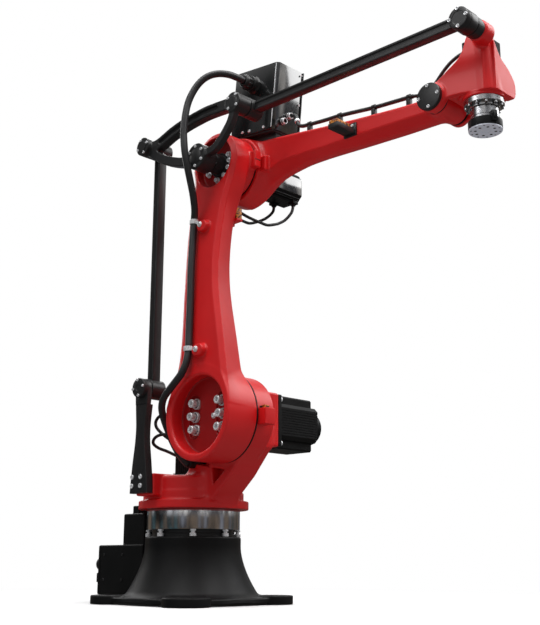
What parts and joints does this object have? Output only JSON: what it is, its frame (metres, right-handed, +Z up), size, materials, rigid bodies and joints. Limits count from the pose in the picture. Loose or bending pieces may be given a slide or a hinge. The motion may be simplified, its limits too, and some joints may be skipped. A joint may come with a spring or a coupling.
{
  "type": "industrial robot arm",
  "caption": "Floor-mounted handling arm with slewing base, lower arm, forearm and parallel links that keep the wrist level; red castings, black links and a turning tool flange.",
  "frame": {"origin": "centre of the base foot on the floor, on the slewing axis", "axes": "+X forward along the reach at rest, +Z up, -Y the side that carries the links"},
  "size_m": [1.275, 0.462, 1.3708],
  "materials": {
    "red_paint": "satin gloss enamel on castings",
    "black_casting": "satin black paint on casting",
    "black_paint": "satin black paint",
    "motor_black": "black motor enamel",
    "machined_steel": "turned and ground",
    "bright_hardware": "plated fasteners",
    "plate_grey": "matt anodised",
    "box_sheet": "gloss black sheet",
    "black_plastic": "moulded",
    "cable_rubber": "matt sheath",
    "bumper_amber": "amber urethane"
  },
  "bodies": {
    "base": {"base_pedestal": "black_casting", "ring_seat": "black_paint", "reducer_ring": "machined_steel", "ring_bolts": "bright_hardware", "rear_box": "black_casting", "rear_connectors": "black_plastic"},
    "turntable": {"turntable_casting": "red_paint", "link_bracket": "black_paint", "bracket_bolts": "bright_hardware", "shoulder_motor": "motor_black", "waist_motor": "motor_black", "shoulder_stop": "red_paint", "waist_glands": "black_plastic", "waist_cables": "cable_rubber"},
    "lower_arm": {"lower_arm_casting": "red_paint", "arm_bolts": "bright_hardware", "rocker_seat": "black_paint", "hose_clamps": "bright_hardware", "elbow_bumper": "bumper_amber", "arm_hose": "cable_rubber", "shoulder_hose": "cable_rubber", "rocker_hose": "cable_rubber", "elbow_cables": "cable_rubber"},
    "vertical_link": {"vertical_link": "black_paint"},
    "rocker": {"rocker": "black_paint"},
    "upper_link": {"upper_link": "black_paint"},
    "forearm": {"forearm_casting": "red_paint", "elbow_box": "box_sheet", "box_gland": "black_plastic", "box_connectors": "bright_hardware", "elbow_motor": "motor_black", "forearm_cable": "cable_rubber", "cable_clips": "black_plastic", "stop_arm": "black_paint", "stop_pad": "bumper_amber", "box_hose": "cable_rubber", "motor_cables": "cable_rubber"},
    "wrist_head": {"wrist_head_casting": "red_paint", "wrist_caps": "black_paint", "wrist_motor": "motor_black", "wrist_reducer": "machined_steel", "wrist_cable": "cable_rubber"},
    "tool_flange": {"flange_neck": "machined_steel", "flange_ring": "black_paint", "tool_plate": "plate_grey"}
  },
  "joints": [
    {"name": "waist", "type": "hinge", "parent": "base", "child": "turntable", "pos_m": [0, 0, 0], "axis": [0, 0, 1], "range_deg": [-160, 160]},
    {"name": "shoulder", "type": "hinge", "parent": "turntable", "child": "lower_arm", "pos_m": [0.195, 0, 0.444], "axis": [0, 1, 0], "range_deg": [-15, 60], "deforming": ["shoulder_hose"]},
    {"name": "vertical_link_pivot", "type": "hinge", "parent": "turntable", "child": "vertical_link", "pos_m": [-0.01, 0, 0.529], "axis": [0, 1, 0], "range_deg": [-15, 60]},
    {"name": "rocker_pivot", "type": "hinge", "parent": "lower_arm", "child": "rocker", "pos_m": [0.195, 0, 1.094], "axis": [0, 1, 0], "range_deg": [-60, 15], "deforming": ["rocker_hose", "elbow_cables"]},
    {"name": "elbow", "type": "hinge", "parent": "rocker", "child": "forearm", "pos_m": [0.195, 0, 1.094], "axis": [0, 1, 0], "range_deg": [-25, 60], "deforming": ["box_hose", "motor_cables"]},
    {"name": "upper_link_pivot", "type": "hinge", "parent": "rocker", "child": "upper_link", "pos_m": [0.326, 0, 1.2], "axis": [0, 1, 0], "range_deg": [-25, 60]},
    {"name": "wrist_level", "type": "hinge", "parent": "forearm", "child": "wrist_head", "pos_m": [0.822, 0, 1.084], "axis": [0, 1, 0], "range_deg": [-60, 25], "deforming": ["wrist_cable"]},
    {"name": "flange_turn", "type": "hinge", "parent": "wrist_head", "child": "tool_flange", "pos_m": [0.917, 0, 0.994], "axis": [0, 0, 1], "range_deg": [-360, 360]}
  ],
  "couplings": [
    {"joint": "vertical_link_pivot", "follows": "shoulder", "ratio": 1},
    {"joint": "rocker_pivot", "follows": "shoulder", "ratio": -1},
    {"joint": "upper_link_pivot", "follows": "elbow", "ratio": 1},
    {"joint": "wrist_level", "follows": "elbow", "ratio": -1}
  ]
}
